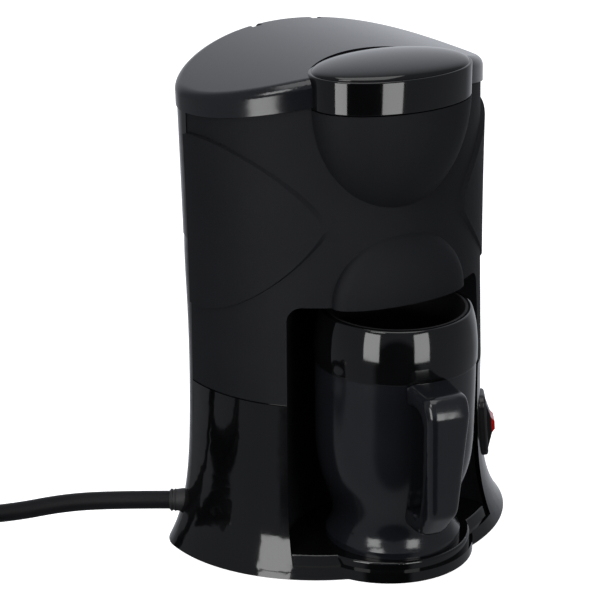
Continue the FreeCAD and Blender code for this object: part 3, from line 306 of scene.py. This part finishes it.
def rib_rings():
    tree = bpy.data.node_groups.new("grommet_ribs", "GeometryNodeTree")
    tree.interface.new_socket("Geometry", in_out="OUTPUT", socket_type="NodeSocketGeometry")

    def add(kind, inputs=None, **settings):
        item = tree.nodes.new(kind)
        for key, value in settings.items():
            setattr(item, key, value)
        for key, value in (inputs or {}).items():
            if isinstance(value, bpy.types.NodeSocket):
                tree.links.new(value, item.inputs[key])
            else:
                item.inputs[key].default_value = value
        return item

    start = cord_root * MM + Vector((0, 0, CORD_Z * MM)) + cord_out * RIB_START * MM
    row = add("GeometryNodeMeshLine", {"Count": RIBS, "Start Location": start,
                                       "Offset": cord_out * RIB_STEP * MM})
    ring = add("GeometryNodeCurvePrimitiveCircle", {"Resolution": 64, "Radius": RIB_R * MM}, mode="RADIUS")
    bead = add("GeometryNodeCurvePrimitiveCircle", {"Resolution": 12, "Radius": BEAD_R * MM}, mode="RADIUS")
    tube = add("GeometryNodeCurveToMesh", {"Curve": ring.outputs["Curve"],
                                           "Profile Curve": bead.outputs["Curve"]})
    turn = Vector((0, 0, 1)).rotation_difference(cord_out).to_euler()
    copies = add("GeometryNodeInstanceOnPoints", {"Points": row.outputs["Mesh"],
                                                  "Instance": tube.outputs["Mesh"], "Rotation": turn})
    real = add("GeometryNodeRealizeInstances", {"Geometry": copies.outputs["Instances"]})
    painted = add("GeometryNodeSetMaterial", {"Geometry": real.outputs["Geometry"],
                                              "Material": LOOK["rubber"]})
    add("NodeGroupOutput", {"Geometry": painted.outputs["Geometry"]})
    return tree


seed = bpy.data.objects.new("grommet_seed", bpy.data.meshes.new("grommet_seed"))
bpy.context.scene.collection.objects.link(seed)
seed.modifiers.new("ribs", "NODES").node_group = rib_rings()
bpy.context.view_layer.update()
ribs = bpy.data.meshes.new_from_object(seed.evaluated_get(bpy.context.evaluated_depsgraph_get()))
bpy.data.objects.remove(seed)
ribs.name = "grommet_ribs"
rib_piece = bpy.data.objects.new("grommet_ribs", smooth(ribs))
bpy.context.scene.collection.objects.link(rib_piece)
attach(rib_piece, BODY["cord_grommet"])

# Every other node is a joined copy of its CAD mesh
REMADE = ("lid_cap", "mug_collar", "cord_lead", "cord_coil")
skins = {node: merged(node) for node in NODES if node not in REMADE}

# The handle's corners are worn round, and its roots stay on the mug's wall
GRID, ROUNDS, WALL_R = 0.8 * MM, 24, 39.0 * MM
handle = skins["mug_handle"]
handle.modifiers.clear()
even = handle.modifiers.new("even", "REMESH")
even.mode, even.voxel_size = "VOXEL", GRID
bpy.context.view_layer.update()
work = bmesh.new()
work.from_mesh(handle.evaluated_get(bpy.context.evaluated_depsgraph_get()).data)
handle.modifiers.clear()
axis = (bore[0] + bore[1]) / 2
free = [vertex for vertex in work.verts if (vertex.co - axis).to_2d().length > WALL_R]
for _ in range(ROUNDS):
    bmesh.ops.smooth_vert(work, verts=free, factor=0.5, use_axis_x=True, use_axis_y=True, use_axis_z=True)
work.to_mesh(handle.data)
work.free()
smooth(handle.data, 40.0)

# Camera as fitted to the photograph
camera = bpy.data.objects.new("camera", bpy.data.cameras.new("camera"))
bpy.context.scene.collection.objects.link(camera)
camera.location = (-0.51326, -0.80518, 0.46584)
camera.rotation_euler = (math.radians(90 - 20.1), 0, math.radians(-30.6))
camera.data.lens, camera.data.sensor_width = 134.06, 36.0
camera.data.clip_start, camera.data.clip_end = 0.05, 20.0
bpy.context.scene.camera = camera

# Pale floor, which the part neither mirrors nor takes light from
SIDE, DROP = 6, -0.0002
floor_mesh = bpy.data.meshes.new("floor")
floor_mesh.from_pydata([(-SIDE, -SIDE, DROP), (SIDE, -SIDE, DROP), (SIDE, SIDE, DROP), (-SIDE, SIDE, DROP)],
                       [], [(0, 1, 2, 3)])
floor = bpy.data.objects.new("floor", floor_mesh)
bpy.context.scene.collection.objects.link(floor)
pale = bpy.data.materials.new("pale_floor")
pale.use_nodes = True
graph = Graph(pale.node_tree)
paper = graph.node("BsdfPrincipled", None, {
    "Base Color": (0.8, 0.8, 0.8, 1), "Roughness": 1.0, "Specular IOR Level": 0.0,
    "Emission Color": (1, 1, 1, 1), "Emission Strength": 0.9})
graph.tree.links.new(paper.outputs[0], graph.node("OutputMaterial").inputs["Surface"])
floor.data.materials.append(pale)
floor.visible_glossy = False
floor.visible_diffuse = False

# Low softboxes on both sides of the camera, one above left and one overhead
AIM = Vector((0, 0, 0.11))


def softbox(name, azimuth, elevation, distance, width, height, power):
    lamp = bpy.data.lights.new(name, "AREA")
    lamp.shape, lamp.size, lamp.size_y, lamp.energy = "RECTANGLE", width, height, power
    item = bpy.data.objects.new(name, lamp)
    bpy.context.scene.collection.objects.link(item)
    a, e = math.radians(azimuth), math.radians(elevation)
    away = Vector((math.sin(a) * math.cos(e), -math.cos(a) * math.cos(e), math.sin(e)))
    item.location = AIM + away * distance
    item.rotation_euler = away.to_track_quat("Z", "Y").to_euler()


softbox("left_box", -62.0, 2.0, 0.38, 0.14, 0.17, 0.42)
softbox("right_box", 2.0, 2.0, 0.38, 0.13, 0.17, 0.36)
softbox("left_high_box", -60.0, 36.0, 1.2, 0.4, 0.3, 2.1)
softbox("top_box", -30.0, 75.0, 1.4, 1.2, 1.2, 9.0)

# Dim room with a pale wall behind the part and a dark gap between the low softboxes
BEHIND, AHEAD = (0.47, 0.80, 0.37), (-0.476, -0.805, -0.342)
WALL_LIGHT, ROOM_LIGHT, GAP_DARK = 0.53, 0.26, 0.25
world = bpy.data.worlds.new("studio")
bpy.context.scene.world = world
world.use_nodes = True
graph = Graph(world.node_tree)
toward = graph.node("TexCoord", "Generated")
behind = graph.node("VectorMath", "Value", {0: toward, 1: BEHIND}, operation="DOT_PRODUCT")
ahead = graph.node("VectorMath", "Value", {0: toward, 1: AHEAD}, operation="DOT_PRODUCT")
room = graph.step(behind, 0.47, 0.92) * WALL_LIGHT + ROOM_LIGHT - graph.step(ahead, 0.84, 0.9) * GAP_DARK
seen = graph.node("LightPath", "Is Camera Ray")
tint = graph.node("Mix", 2, {0: seen, 6: (0.9, 0.93, 1.0, 1.0), 7: (1.0, 1.0, 1.0, 1.0)}, data_type="RGBA")
light = graph.node("Background", None, {"Color": tint, "Strength": seen.math("MAXIMUM", room)})
graph.tree.links.new(light.outputs[0], graph.node("OutputWorld").inputs["Surface"])
bpy.context.scene.view_settings.view_transform = "Standard"
